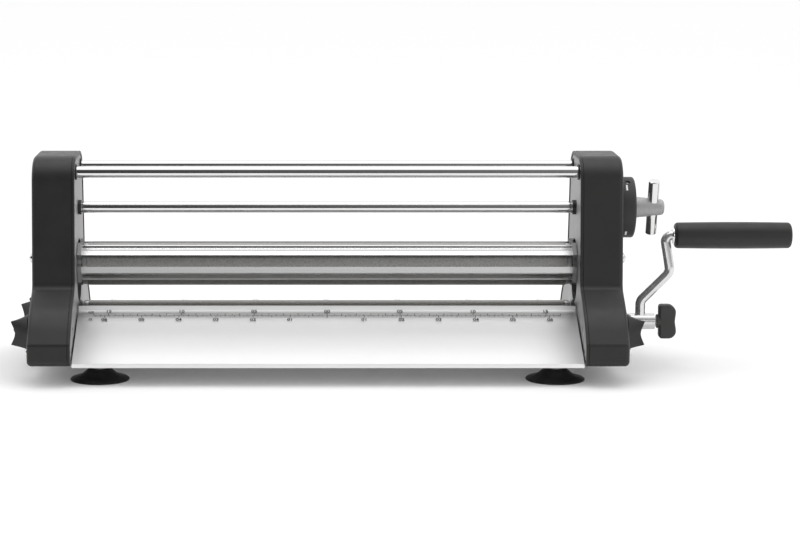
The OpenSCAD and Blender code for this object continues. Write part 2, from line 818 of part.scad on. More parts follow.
hub_end_r = 2.6;
module thickness_hub() {
    end_x = hub_face_x + hub_len;
    nose = [for (i = [0:arc_steps])
        let (a = 90 * i / arc_steps)
        [hub_end_d / 2 - hub_end_r + hub_end_r * cos(a), end_x - hub_end_r + hub_end_r * sin(a)]];
    color("darkgray") machine() difference() {
        turned_x(0, shaft_z) polygon(concat([[0, hub_face_x], [hub_d / 2, hub_face_x]], nose, [[0, end_x]]));
        rod_x(hub_face_x - over, shaft_end_x, shaft_d, 0, shaft_z);
        at_bar() translate([0, 0, -bar_len / 2]) cylinder(d = bar_d, h = bar_len);
    }
}

module at_bar() {
    translate([bar_x, 0, shaft_z]) rotate([bar_lean, 0, 0]) children();
}

module t_bar() {
    r = bar_d / 2;
    h = bar_len / 2;
    color("gainsboro") machine() at_bar() rotate_extrude() polygon([[0, -h], [r - bar_chamfer, -h],
        [r, -h + bar_chamfer], [r, h - bar_chamfer], [r - bar_chamfer, h], [0, h]]);
}

// Bearing block on the right: a round body in the plate's slot, a slide and a rack arm
module bearing_block() {
    difference() {
        union() {
            slab(rim_in_x, rim_in_x + rim_t) translate([0, upper_z]) {
                circle(r = block_r);
                strip_ear(strip_path(guard_shares));
                strip_ear(strip_path(scraper_shares));
            }
            rod_x(rim_in_x, block_out_x, 2 * block_r, 0, upper_z);
            translate([slide_in_x, -slide_half_w, upper_z - slide_half_h])
                cube([slide_t, 2 * slide_half_w, 2 * slide_half_h]);
            translate([slide_in_x, rack_root_y, upper_z])
                cube([gear_out_x - slide_in_x, rack_arm_t, rack_top_z - upper_z]);
            slab(gear_in_x, gear_out_x) polygon(rack_outline());
        }
        rod_x(rim_in_x - over, block_out_x + over, bush_d, 0, upper_z);
    }
}

module left_bearing_block() {
    color("lightgray") machine() mirror([1, 0, 0]) bearing_block();
}

module right_bearing_block() {
    color("lightgray") machine() bearing_block();
}

module upper_bushes() {
    color("peru") machine() both_ends() difference() {
        rod_x(rim_in_x, block_out_x, bush_d, 0, upper_z);
        rod_x(rim_in_x - over, block_out_x + over, journal_d + 2 * fit, 0, upper_z);
    }
}

clip_x = block_out_x + run_gap;
journal_out_x = clip_x + 2 * clip_t;
module upper_roller() {
    color("lightgray") machine() difference() {
        union() {
            rod_x(-roller_end_x, roller_end_x, roller_d, 0, upper_z);
            rod_x(-journal_out_x, journal_out_x, journal_d, 0, upper_z);
        }
        both_ends() difference() {
            rod_x(clip_x, clip_x + clip_t, journal_d + over, 0, upper_z);
            rod_x(clip_x - over, clip_x + clip_t + over, journal_d - 2 * groove_depth, 0, upper_z);
        }
    }
}

// Steel collar at each end of a roller
module roller_collars(z) {
    both_ends() difference() {
        rod_x(roller_end_x, collar_end_x, roller_d - 2 * groove_depth, 0, z);
        rod_x(roller_end_x - over, collar_end_x + over, journal_d, 0, z);
    }
}

module upper_roller_collars() {
    color("gray") machine() roller_collars(upper_z);
}

module upper_roller_clips() {
    color("dimgray") machine() both_ends() difference() {
        rod_x(clip_x, clip_x + clip_t, journal_d + 2 * clip_wall, 0, upper_z);
        rod_x(clip_x - over, clip_x + clip_t + over, journal_d - 2 * groove_depth, 0, upper_z);
    }
}

axle_thread_x = hub_out_x + wing_hub_t + wing_len / 2;
module lower_roller() {
    color("lightgray") machine() union() {
        rod_x(-roller_end_x, roller_end_x, roller_d, 0, lower_z);
        rod_x(-block_out_x, block_out_x, journal_d, 0, lower_z);
        rod_x(-knob_in_x, hub_out_x, axle_d, 0, lower_z);
        rod_x(-knob_bottom_x, axle_thread_x, axle_thread_d, 0, lower_z);
    }
}

module lower_roller_collars() {
    color("gray") machine() roller_collars(lower_z);
}

// Crank: a hub on the axle, a bent rod, its ferrule and the drive pin
module crank_hub() {
    color("gainsboro") machine() difference() {
        rod_x(hub_in_x, hub_out_x, crank_hub_d, 0, lower_z);
        rod_x(hub_in_x - over, hub_out_x + over, axle_d, 0, lower_z);
        translate([crank_rod_x, 0, lower_z + axle_d / 2]) cylinder(d = crank_d, h = crank_hub_d);
        at_drive_pin() cylinder(d = pin_d, h = crank_hub_d + 2 * over, center = true);
    }
}

pin_turn = 40;
module at_drive_pin() {
    translate([(hub_in_x + crank_rod_x) / 2, 0, lower_z]) rotate([pin_turn, 0, 0]) children();
}

// The pin is in two halves, one on each side of the axle
module crank_drive_pin() {
    color("dimgray") machine() difference() {
        at_drive_pin() cylinder(d = pin_d, h = crank_hub_d, center = true);
        rod_x(hub_in_x, hub_out_x, axle_d, 0, lower_z);
    }
}

// Round tube of radius r along a path in X and Z
module bent_rod(path, r, sides) {
    n = len(path);
    skin([for (i = [0:n - 1])
        let (before = i == 0 ? unit(path[1] - path[0]) : unit(path[i] - path[i - 1]))
        let (after = i == n - 1 ? before : unit(path[i + 1] - path[i]))
        let (normal = across(unit(before + after)))
        [for (k = [0:sides - 1])
            let (a = 360 * k / sides)
            [path[i].x + normal.x * r * cos(a), -r * sin(a), path[i].y + normal.y * r * cos(a)]]]);
}

rod_sides = 32;
spindle_step = 0.3;
spindle_d = crank_d - 2 * spindle_step;
module crank_arm() {
    start = [crank_rod_x, lower_z + axle_d / 2 + screw_fit];
    bend1 = [crank_rod_x, lower_z + crank_bend1];
    end = [ferrule_x + ferrule_t, lower_z + crank_throw];
    path = concat([start], fillet(start, bend1, crank_elbow, crank_bend_r, 0),
        fillet(bend1, crank_elbow, crank_end, crank_bend_r, 0),
        fillet(crank_elbow, crank_end, end, crank_end_r, 0), [end]);
    color("gainsboro") machine() union() {
        bent_rod(path, crank_d / 2, rod_sides);
        rod_x(ferrule_x + ferrule_t / 2, grip_out_x - knob_cap_t, spindle_d, 0, lower_z + crank_throw);
    }
}

module grip_ferrule() {
    color("silver") machine() difference() {
        rod_x(ferrule_x, ferrule_x + ferrule_t, ferrule_d, 0, lower_z + crank_throw);
        rod_x(ferrule_x - over, ferrule_x + ferrule_t + over, crank_d, 0, lower_z + crank_throw);
    }
}

grip_waist_share = 0.965;
module crank_grip() {
    z = lower_z + crank_throw;
    r = grip_d / 2;
    steps = 2 * arc_steps;
    in_r = r * grip_waist_share;
    side = [for (i = [0:steps])
        let (t = i / steps)
        [in_r + (r - in_r) * sin(180 * t), grip_in_x + grip_end_r + (grip_len - 2 * grip_end_r) * t]];
    inner = [for (i = [0:arc_steps])
        let (a = 90 * i / arc_steps)
        [in_r - grip_end_r * (1 - sin(a)), grip_in_x + grip_end_r * (1 - cos(a))]];
    outer = [for (i = [0:arc_steps])
        let (a = 90 * i / arc_steps)
        [in_r - grip_end_r * (1 - cos(a)), grip_out_x - grip_end_r * (1 - sin(a))]];
    color([0.1, 0.1, 0.1]) machine() difference() {
        turned_x(0, z) polygon(concat([[0, grip_in_x]], inner, side, outer, [[0, grip_out_x]]));
        rod_x(grip_in_x - over, grip_out_x - knob_cap_t + run_gap, spindle_d + 2 * fit, 0, z);
    }
}

// Knob with two wings, screwed on the axle's threaded end
wing_corner_r = 5.5;
wing_waist_share = 0.1;
module crank_clamp_knob() {
    x0 = hub_out_x + thread_out;
    x1 = x0 + thread_out;
    x2 = x1 + wing_len;
    h = wing_w / 2;
    waist = [x2 - wing_len * wing_waist_share, 0];
    low = [x2, -h];
    high = [x2, h];
    outline = concat([[x1, h], [x1, -h]], fillet([x1, -h], low, waist, wing_corner_r, 0), [waist],
        fillet(waist, high, [x1, h], wing_corner_r, 0));
    color([0.1, 0.1, 0.1]) machine() difference() {
        union() {
            translate([0, wing_t / 2, lower_z]) rotate([90, 0, 0]) linear_extrude(wing_t) polygon(outline);
            rod_x(x0, axle_thread_x + thread_out, wing_hub_d, 0, lower_z);
        }
        rod_x(x0 - over, axle_thread_x + run_gap, axle_thread_d + 2 * fit, 0, lower_z);
    }
}

// Star knob about its own axis along X: round at the cover, with points round a hollow free end
point_steps = 6;
function pointed(a) = 1 - abs(cos(a * knob_lobes / 2));
module star_knob() {
    ring_count = knob_lobes * 2 * point_steps;
    turn_step = 360 / ring_count;
    hollow = knob_hollow_d / 2;
    floor_r = hollow - knob_valley;
    skin([
        [for (i = [0:ring_count - 1]) let (a = turn_step * i)
            [knob_in_x, knob_d / 2 * cos(a), knob_d / 2 * sin(a)]],
        [for (i = [0:ring_count - 1]) let (a = turn_step * i)
            let (r = hollow + (knob_end_d / 2 - hollow) * pointed(a))
            [knob_out_x - knob_valley * (1 - pointed(a)), r * cos(a), r * sin(a)]],
        [for (i = [0:ring_count - 1]) let (a = turn_step * i)
            [knob_out_x - knob_valley, floor_r * cos(a), floor_r * sin(a)]]]);
}

// Star knob with the blind bore for its stud
module bored_knob(bore_d, turn = 0, share = 1) {
    difference() {
        rotate([turn, 0, 0]) scale([1, share, share]) star_knob();
        rod_x(knob_in_x - over, knob_bottom_x, bore_d);
    }
}

module clamp_knob(sx, sy, turn = 0) {
    color([0.1, 0.1, 0.1]) machine() scale([sx, sy, 1]) translate([0, knob_y, knob_z])
        bored_knob(stud_d, turn);
}

module clamp_stud(sx, sy) {
    color("silver") machine() scale([sx, sy, 1]) translate([0, knob_y, knob_z])
        rod_x(plate_in_x + run_gap, knob_bottom_x, stud_d);
}

module left_axle_knob() {
    color([0.1, 0.1, 0.1]) machine() mirror([1, 0, 0]) translate([0, 0, lower_z])
        bored_knob(axle_thread_d, 90 - 180 / knob_lobes, axle_knob_share);
}

module front_left_knob() {
    clamp_knob(-1, -1);
}

module front_right_knob() {
    clamp_knob(1, -1);
}

module back_left_knob() {
    clamp_knob(-1, 1, 180 / knob_lobes - 90);
}

module back_right_knob() {
    clamp_knob(1, 1, 180 / knob_lobes - 90);
}

module front_left_stud() {
    clamp_stud(-1, -1);
}

module front_right_stud() {
    clamp_stud(1, -1);
}

module back_left_stud() {
    clamp_stud(-1, 1);
}

module back_right_stud() {
    clamp_stud(1, 1);
}

left_side_plate();
right_side_plate();
left_cover();
right_cover();
cover_screws();
front_top_rod();
back_top_rod();
rod_collars();
rod_screws();
shaft_bushes();
lower_bearing_housings();
housing_ring_nuts();
lower_bushes();
front_lower_scraper();
back_lower_scraper();
front_tray();
back_tray();
tray_screws();
suction_cups();
cup_posts();
cup_nuts();
knob_nuts();
adjusting_shaft();
left_pinion();
right_pinion();
thickness_dial();
dial_set_screw();
thickness_hub();
t_bar();
left_bearing_block();
right_bearing_block();
upper_bushes();
front_guard_strip();
back_guard_strip();
front_upper_scraper();
back_upper_scraper();
upper_roller();
upper_roller_collars();
upper_roller_clips();
lower_roller();
lower_roller_collars();
crank_hub();
crank_arm();
crank_drive_pin();
grip_ferrule();
left_axle_knob();
crank_grip();
crank_clamp_knob();
front_left_knob();
front_right_knob();
back_left_knob();
back_right_knob();
front_left_stud();
front_right_stud();
back_left_stud();
back_right_stud();
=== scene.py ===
import math
import bmesh
import bpy
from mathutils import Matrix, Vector


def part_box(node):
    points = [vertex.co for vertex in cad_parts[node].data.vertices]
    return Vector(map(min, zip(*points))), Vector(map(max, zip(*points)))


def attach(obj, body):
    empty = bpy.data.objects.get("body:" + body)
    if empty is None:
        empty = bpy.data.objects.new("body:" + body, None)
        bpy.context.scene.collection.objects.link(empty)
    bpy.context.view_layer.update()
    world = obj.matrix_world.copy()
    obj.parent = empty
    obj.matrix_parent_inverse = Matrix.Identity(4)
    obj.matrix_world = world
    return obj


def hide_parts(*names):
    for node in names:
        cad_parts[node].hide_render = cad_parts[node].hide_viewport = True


# A hand cranked dough sheeter around its CAD. Lengths are in mm from the machine's middle on
# the table, with X along the rollers, Y to the back and Z up. MID, the floor and the lamps are
# in metres.
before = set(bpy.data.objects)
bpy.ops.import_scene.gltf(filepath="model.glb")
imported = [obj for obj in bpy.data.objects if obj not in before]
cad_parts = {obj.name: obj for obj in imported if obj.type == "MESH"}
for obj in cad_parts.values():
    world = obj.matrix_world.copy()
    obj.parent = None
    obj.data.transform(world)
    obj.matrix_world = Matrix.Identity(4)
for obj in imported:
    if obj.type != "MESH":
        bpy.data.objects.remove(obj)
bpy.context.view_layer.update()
MM = 0.001
MID = (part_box("left_side_plate")[0].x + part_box("right_side_plate")[1].x) / 2

# Sizes and places as in the CAD
PLATE_IN = 171.9
FACE = 200.5
COVER_WALL = 2.5
CAVITY = FACE - COVER_WALL
EDGE_R = 3.0
LOWER_Z = 30.7
SHAFT_Z = 110.8
SCREWS = [(30.0, 80.0), (67.0, 22.0)]
KNOB_Y, KNOB_Z = 55.0, 33.5
CUP_X, CUP_Y = 154.2, 50
TRAY_REAR, TRAY_FREE = Vector((-19.0, 42.2)), Vector((-74.3, 15.9))


def place(x, y, z, side=1):
    """A point of the machine in the frame, in metres; side -1 mirrors it to the left."""
    return Vector((MID + side * x * MM, y * MM, z * MM))


# Materials

class Nodes:
    """A node tree, with short calls to add nodes and to feed their sockets."""

    def __init__(self, tree):
        self.tree = tree

    def feed(self, socket, value):
        """Links another node's socket to this one, or sets a plain value."""
        if isinstance(value, bpy.types.NodeSocket):
            self.tree.links.new(value, socket)
        else:
            socket.default_value = value

    def add(self, kind, *inputs, **settings):
        """A new node with its settings, its first inputs fed in their order."""
        node = self.tree.nodes.new(kind)
        for key, value in settings.items():
            setattr(node, key, value)
        for socket, value in zip(node.inputs, inputs):
            self.feed(socket, value)
        return node

    def ramp(self, factor, stops):
        """Colour ramp through stops of a position and a grey or a colour."""
        node = self.add("ShaderNodeValToRGB", factor)
        elements = node.color_ramp.elements
        while len(elements) < len(stops):
            elements.new(0.5)
        for element, (at, colour) in zip(elements, stops):
            element.position = at
            colour = colour if isinstance(colour, tuple) else (colour,) * 3
            element.color = (*colour, 1)
        return node.outputs["Color"]

    def mix(self, kind, factor, a, b):
        """Mix of two values or sockets, where kind is FLOAT or RGBA."""
        node = self.add("ShaderNodeMix", factor, data_type=kind)
        first, out = {"FLOAT": (2, 0), "RGBA": (6, 2)}[kind]
        self.feed(node.inputs[first], a)
        self.feed(node.inputs[first + 1], b)
        return node.outputs[out]


class Material(Nodes):
    """A material of one Principled shader, with textures in the object's coordinates."""

    def __init__(self, name):
        self.mat = bpy.data.materials.new(name)
        self.mat.use_nodes = True
        super().__init__(self.mat.node_tree)
        self.bsdf = self.tree.nodes["Principled BSDF"]
        self.coord = self.add("ShaderNodeTexCoord").outputs["Object"]

    def give(self, key, value):
        """Gives an input of the shader a value or a socket."""
        self.feed(self.bsdf.inputs[key], value)

    def stretched(self, scale):
        """The coordinates scaled along each axis."""
        node = self.add("ShaderNodeMapping", self.coord)
        node.inputs["Scale"].default_value = scale
        return node.outputs[0]

    def noise(self, scale, detail, rough=0.5, vector=None):
        node = self.add("ShaderNodeTexNoise", vector or self.coord)
        for key, value in (("Scale", scale), ("Detail", detail), ("Roughness", rough)):
            node.inputs[key].default_value = value
        return node.outputs["Fac"]

    def between(self, noise, low, high):
        """From low to high over the middle of a noise's range."""
        return self.ramp(noise, [(0.3, low), (0.7, high)])

    def bump(self, height, strength, distance):
        node = self.add("ShaderNodeBump")
        for key, value in (("Strength", strength), ("Distance", distance), ("Height", height)):
            self.feed(node.inputs[key], value)
        return node.outputs["Normal"]


def srgb(v):
    """Linear value of a screen value from 0 to 255."""
    v = v / 255
    return v / 12.92 if v <= 0.04045 else ((v + 0.055) / 1.055) ** 2.4


def warm(v):
    """A grey with a trace of yellow."""
    return (v, v * 0.985, v * 0.955)


def black(v):
    """Colour of a nearly black screen value."""
    return warm(srgb(v))


def plastic(name, dark, light, rough, grain, depth, level=0.5):
    """Moulded plastic or rubber: soft clouds of two close colours under a fine grain."""
    m = Material(name)
    cloud, change = 30, 0.05
    m.give("Specular IOR Level", level)
    m.give("Base Color", m.between(m.noise(cloud, 4), dark, light))
    m.give("Roughness", m.between(m.noise(4 * cloud, 3), rough - change, rough + change))
    m.give("Normal", m.bump(m.noise(grain, 2), depth, 0.4 * MM))
    return m.mat


def metal(name, dark, light, rough, stretch, lines, depth, vary=1.0, metallic=1.0):
    """Steel with fine lines along each axis whose stretch is small."""
    m = Material(name)
    patch, line_share = 20, 0.6
    drawn = m.noise(lines, 4, 0.6, m.stretched(stretch))
    both = m.mix("FLOAT", line_share, m.noise(patch, 3), drawn)
    m.give("Metallic", metallic)
    m.give("Base Color", m.between(both, dark, light))
    m.give("Roughness", m.between(both, rough * (1 + 0.2 * vary), rough * (1 - 0.15 * vary)))
    m.give("Normal", m.bump(drawn, depth, 0.2 * MM))
    return m.mat


def blasted(name, dark, light, rough, specks, grain):
    """Sand-blasted steel: specks of two greys over an even grain of small pits."""
    m = Material(name)
    change = 0.06
    pits = m.noise(grain, 2, 0.7)
    m.give("Metallic", 1.0)
    m.give("Base Color", m.between(m.noise(specks, 2, 0.7), warm(dark), warm(light)))
    m.give("Roughness", m.between(pits, rough + change, rough - change))
    m.give("Normal", m.bump(pits, 0.35, 0.3 * MM))
    return m.mat


# Each has a name, two colours, a roughness, and the scale and strength of its grain
COVER = plastic("cover_plastic", black(31), black(35), 0.42, 2600, 0.10, level=0.4)
KNOB = plastic("knob_plastic", black(32), black(37), 0.5, 2200, 0.10, level=0.4)
WING = plastic("wing_plastic", black(52), black(57), 0.55, 2200, 0.10)
DIAL = plastic("dial_plastic", black(44), black(48), 0.52, 2400, 0.08)
GRIP = plastic("grip_plastic", black(34), black(38), 0.44, 2000, 0.08, level=0.4)
RUBBER = plastic("cup_rubber", black(28), black(34), 0.55, 1500, 0.15)
BUSH = plastic("bush_nylon", black(30), black(36), 0.45, 1800, 0.1)
WHITE = plastic("mark_white", srgb(232), srgb(242), 0.5, 2500, 0.05)
INK = plastic("ruler_ink", srgb(26), srgb(36), 0.6, 3000, 0.05)

# The same for metals, with the stretch of the lines before their scale and strength
EVEN, LENGTHWISE = (1, 1, 1), (0.02, 1, 1)
POLISHED = metal("polished_steel", 0.74, 0.82, 0.09, LENGTHWISE, 900, 0.03)
STRIP = metal("strip_steel", 0.86, 0.92, 0.18, (0.015, 1, 1), 1400, 0.01)
SHEET = metal("tray_steel", 0.84, 0.87, 0.3, LENGTHWISE, 1800, 0.008, vary=0.3)
PLATE = metal("plate_steel", 0.32, 0.38, 0.5, (1, 1, 0.02), 1800, 0.1)
TURNED = metal("turned_steel", 0.55, 0.64, 0.3, (1, 0.05, 0.05), 2500, 0.1)
ZINC = metal("grey_zinc", 0.46, 0.52, 0.6, EVEN, 900, 0.03)
CHROME = metal("chrome", 0.82, 0.88, 0.05, EVEN, 60, 0.01)
NICKEL = metal("satin_nickel", 0.7, 0.78, 0.16, EVEN, 300, 0.01, metallic=0.8)
BLASTED = blasted("blasted_steel", 0.3, 0.5, 0.45, 1100, 3800)
GEAR = metal("gear_steel", 0.5, 0.6, 0.3, (1, 0.1, 0.1), 1500, 0.1)

FINISH = {
    COVER: ["left_cover", "right_cover"],
    POLISHED: ["front_top_rod", "back_top_rod", "adjusting_shaft", "t_bar", "cover_screws"],
    STRIP: ["front_guard_strip", "back_guard_strip", "front_upper_scraper", "back_upper_scraper",
            "front_lower_scraper", "back_lower_scraper"],
    SHEET: ["front_tray", "back_tray"],
    PLATE: ["left_side_plate", "right_side_plate", "left_bearing_block", "right_bearing_block"],
    TURNED: ["upper_roller_collars", "lower_roller_collars", "lower_bearing_housings",
             "housing_ring_nuts", "upper_roller_clips", "rod_screws", "tray_screws", "cup_nuts",
             "knob_nuts", "front_left_stud", "front_right_stud", "back_left_stud",
             "back_right_stud"],
    ZINC: ["thickness_hub", "cup_posts"],
    CHROME: ["crank_drive_pin", "grip_ferrule", "dial_set_screw"],
    NICKEL: ["crank_hub", "crank_arm"],
    BLASTED: ["upper_roller", "lower_roller"],
    GEAR: ["left_pinion", "right_pinion"],
    BUSH: ["rod_collars", "shaft_bushes", "upper_bushes", "lower_bushes"],
    DIAL: ["thickness_dial"],
    GRIP: ["crank_grip"],
    RUBBER: ["suction_cups"],
    KNOB: ["left_axle_knob", "crank_clamp_knob", "front_left_knob", "front_right_knob",
           "back_left_knob", "back_right_knob"],
}
for mat, names in FINISH.items():
    for name in names:
        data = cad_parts[name].data
        data.materials.clear()
        data.materials.append(mat)


# Softened edges of the CAD's solids

def weigh(obj):
    """Shades flat faces flat where they run into small roundings."""
    mod = obj.modifiers.new("weights", "WEIGHTED_NORMAL")
    mod.mode, mod.weight, mod.keep_sharp = "FACE_AREA", 100, True


def soften(node, width):
    """Bevels the solid's edges, with its points welded and its shading made afresh."""
    data = node.data
    data.polygons.foreach_set("use_smooth", [True] * len(data.polygons))
    data.normals_split_custom_set([(0.0, 0.0, 0.0)] * len(data.loops))
    weld = node.modifiers.new("weld", "WELD")
    weld.merge_threshold = 0.002 * MM
    bevel = node.modifiers.new("edges", "BEVEL")
    bevel.width, bevel.segments = width * MM, 2
    bevel.limit_method, bevel.angle_limit = "ANGLE", math.radians(35)
    weigh(node)


SOFT = {
    0.35: ["thickness_hub", "crank_hub", "crank_grip", "t_bar", "upper_roller", "lower_roller",
           "upper_roller_collars", "lower_roller_collars", "thickness_dial", "rod_collars"],
    0.2: ["left_bearing_block", "right_bearing_block", "lower_bearing_housings", "shaft_bushes",
          "left_side_plate", "right_side_plate", "front_tray", "back_tray", "grip_ferrule",
          "cup_posts", "cover_screws", "knob_nuts", "cup_nuts", "rod_screws",
          "front_lower_scraper", "back_lower_scraper", "housing_ring_nuts"],
}
for width, names in SOFT.items():
    for name in names:
        soften(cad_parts[name], width)


# Meshes and pieces; a shape is its points and its faces

def mesh_of(name, shape):
    """A mesh whose faces all look outward."""
    verts, faces = shape
    data = bpy.data.meshes.new(name)
    data.from_pydata([tuple(v) for v in verts], [], faces)
    bm = bmesh.new()
    bm.from_mesh(data)
    bmesh.ops.remove_doubles(bm, verts=bm.verts, dist=0.001 * MM)
    bmesh.ops.recalc_face_normals(bm, faces=bm.faces)
    bm.to_mesh(data)
    bm.free()
    return data


def linked(name, data):
    """A new object in the scene."""
    obj = bpy.data.objects.new(name, data)
    bpy.context.scene.collection.objects.link(obj)
    return obj


def final_mesh(obj):
    """A copy of the object's mesh with its modifiers, or of its lettering as a mesh."""
    bpy.context.view_layer.update()
    depsgraph = bpy.context.evaluated_depsgraph_get()
    return bpy.data.meshes.new_from_object(obj.evaluated_get(depsgraph))


def piece(name, body, mat, shape, replaces=(), smooth=40):
    """A mesh piece on a body, with its edges sharp above the angle."""
    data = mesh_of(name, shape)
    data.polygons.foreach_set("use_smooth", [True] * len(data.polygons))
    data.set_sharp_from_angle(angle=math.radians(smooth))
    data.materials.append(mat)
    obj = linked(name, data)
    weigh(obj)
    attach(obj, body)
    if replaces:
        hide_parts(*replaces)
    return obj


def cut(obj, cutters):
    """Bores the piece with the cutters and drops them."""
    tool = linked("cutter", mesh_of("cutter", joined(cutters)))
    obj.modifiers.clear()
    mod = obj.modifiers.new("bore", "BOOLEAN")
    mod.operation, mod.solver, mod.object = "DIFFERENCE", "EXACT", tool
    fresh = final_mesh(obj)
    obj.modifiers.clear()
    old, obj.data = obj.data, fresh
    bpy.data.meshes.remove(old)
    bpy.data.objects.remove(tool)
    fresh.set_sharp_from_angle(angle=math.radians(30))
    weigh(obj)


def loft(rings):
    """A skin over equally long rings, capped at both ends."""
    n = len(rings[0])
    verts = [p for ring in rings for p in ring]
    last = len(verts) - n
    faces = []
    for a in range(0, last, n):
        b = a + n
        faces += [(a + i, a + (i + 1) % n, b + (i + 1) % n, b + i) for i in range(n)]
    faces += [tuple(range(n)), tuple(range(last, last + n))]
    return verts, faces


def joined(shapes):
    """Several shapes as one."""
    verts, faces = [], []
    for v, f in shapes:
        base = len(verts)
        verts += v
        faces += [tuple(base + i for i in face) for face in f]
    return verts, faces


def turns(n):
    """The angles of a full turn in n steps."""
    return [2 * math.pi * i / n for i in range(n)]


def lathe(profile, y, z, side=1, n=64):
    """Turned about an axis along X; the profile is a list of x and radius."""
    return loft([[place(x, y + r * math.cos(a), z + r * math.sin(a), side) for a in turns(n)]
                 for x, r in profile])


def corner(a, b, c, r):
    """Centre of the arc that rounds the corner b, and the arc's two ends seen from it."""
    u, v = (a - b).normalized(), (c - b).normalized()
    half = u.angle(v) / 2
    touch = r / math.tan(half)
    centre = b + (u + v).normalized() * r / math.sin(half)
    return centre, b + u * touch - centre, b + v * touch - centre


def rounded(points, radii, steps=10):
    """Outline through the points with each corner rounded by its radius."""
    points = [Vector(p) for p in points]
    out = []
    for i, (b, r) in enumerate(zip(points, radii)):
        centre, start, end = corner(points[i - 1], b, points[(i + 1) % len(points)], r)
        sweep = start.angle_signed(end)
        for k in range(steps + 1):
            t = -sweep * k / steps
            out.append(centre + Vector((start.x * math.cos(t) - start.y * math.sin(t),
                                        start.x * math.sin(t) + start.y * math.cos(t))))
    return out


def beside(outline, i, step):
    """The nearest point along the closed outline that isn't at point i itself."""
    k = i + step
    while (outline[k % len(outline)] - outline[i]).length < 1e-6:
        k += step
    return outline[k % len(outline)]


def inset(outline, by):
    """The outline moved inward by a distance, point by point."""
    out = []
    for i, p in enumerate(outline):
        d1 = (p - beside(outline, i, -1)).normalized()
        d2 = (beside(outline, i, 1) - p).normalized()
        normal = Vector((-(d1 + d2).y, (d1 + d2).x)).normalized()
        out.append(p + normal * by / max(normal.dot(Vector((-d1.y, d1.x))), 0.5))
    return out


# Covers: half of the outline in Y and Z, with a slight bulge in its sloping edge

FOOT_TOP, WAIST = Vector((80.3, 29.0)), Vector((40.5, 61.5))
BULGE_AT, BULGE_BY = 0.59, 4.4
slope = (WAIST - FOOT_TOP).normalized()
BULGE = WAIST.lerp(FOOT_TOP, BULGE_AT) + BULGE_BY * Vector((slope.y, -slope.x))
HALF = [(80.3, 14.3), tuple(FOOT_TOP), tuple(BULGE), tuple(WAIST), (30.9, 148.3)]
HALF_RADII = [4, 4, 60, 6, 18]
OUTLINE = rounded(HALF + [(-y, z) for y, z in reversed(HALF)], HALF_RADII + HALF_RADII[::-1])
SCREW_BORE, STUD_BORE, AXLE_BORE = 2.1, 3.1, 4.3


def cover(side, name):
    """Moulded cover: a shell with a rounded outer edge, a small bead and bored seats."""
    lip, steps = PLATE_IN - 0.6, 8
    # Distance from the middle and inset: cavity, lip, bead, groove and outer rounding
    profile = [(CAVITY, COVER_WALL), (lip + 0.3, COVER_WALL), (lip, 2.2), (lip, 0.9),
               (lip + 0.2, 0.3), (lip + 0.7, 0), (lip + 1.5, 0), (lip + 1.6, 0.35),
               (lip + 2.0, 0.35), (lip + 2.3, 0)]
    for k in range(steps + 1):
        a = math.pi / 2 * k / steps
        profile.append((FACE - EDGE_R + EDGE_R * math.sin(a), EDGE_R * (1 - math.cos(a))))
    profile.append((FACE, EDGE_R + 0.3))
    skin = loft([[place(x, *p, side) for p in inset(OUTLINE, by)] for x, by in profile])
    obj = piece(name + "_shell", "frame", COVER, skin, replaces=[name])

    def bore(r, y, z, start=PLATE_IN + 1, n=24):
        return lathe([(start, r), (FACE + 2, r)], y, z, side, n)

    bores = [bore(SCREW_BORE, s * y, z) for y, z in SCREWS for s in (-1, 1)]
    bores += [bore(STUD_BORE, s * KNOB_Y, KNOB_Z) for s in (-1, 1)]
    bores.append(bore(AXLE_BORE, 0, LOWER_Z, CAVITY - 1, 32))
    if side > 0:
        bores.append(bore(AXLE_BORE, 0, SHAFT_Z, CAVITY - 1, 32))
    cut(obj, bores)


cover(1, "right_cover")
cover(-1, "left_cover")


# Star knobs

def star_knob(name, body, side, y, z, toward, share=1.0):
    """Moulded knob: round at the cover, with three points round a hollow free end."""
    start, long, notch = FACE + 0.3, 12.0, 2.8
    hole_r, base_r, valley_r, point_r = 4.3 / share, 12.2, 6.5, 9.2
    # Each ring's place and radius in a valley and at a point, from the cover to the hollow
    rows = [(0, hole_r) * 2, (0, base_r - 0.4) * 2, (0.4, base_r - 0.05) * 2]
    for k in range(1, 9):
        f = k / 9
        rows.append((f * (long - notch), base_r + f * (valley_r - base_r),
                     f * long, base_r + f * (point_r - base_r)))
    rows += [(long - notch - 0.3, valley_r + 0.1, long - 0.3, point_r + 0.1),
             (long - notch - 0.05, valley_r - 0.3, long - 0.05, point_r - 0.3),
             (long - notch - 0.3, valley_r - 1.2, long - 0.2 * notch - 0.3, point_r - 1.2),
             (long - 2.7, 4.0) * 2, (long - 2.9, 2.0) * 2]
    rings = []
    for valley_x, in_r, point_x, out_r in rows:
        ring = []
        for a in turns(96):
            point = 1 - abs(math.cos(1.5 * (a - toward)))
            x = start + valley_x + point * (point_x - valley_x)
            r = share * (in_r + point * (out_r - in_r))
            ring.append(place(x, y + r * math.cos(a), z + r * math.sin(a), side))
        rings.append(ring)
    piece(name + "_star", body, KNOB, loft(rings), replaces=[name], smooth=35)


for end, side in (("left", -1), ("right", 1)):
    star_knob(f"front_{end}_knob", f"front_{end}_knob_set", side, -KNOB_Y, KNOB_Z, math.pi)
    star_knob(f"back_{end}_knob", f"back_{end}_knob_set", side, KNOB_Y, KNOB_Z, -math.pi / 6)
star_knob("left_axle_knob", "lower_roller_set", -1, 0, LOWER_Z, math.pi / 6, 1.3)


# Crank rod

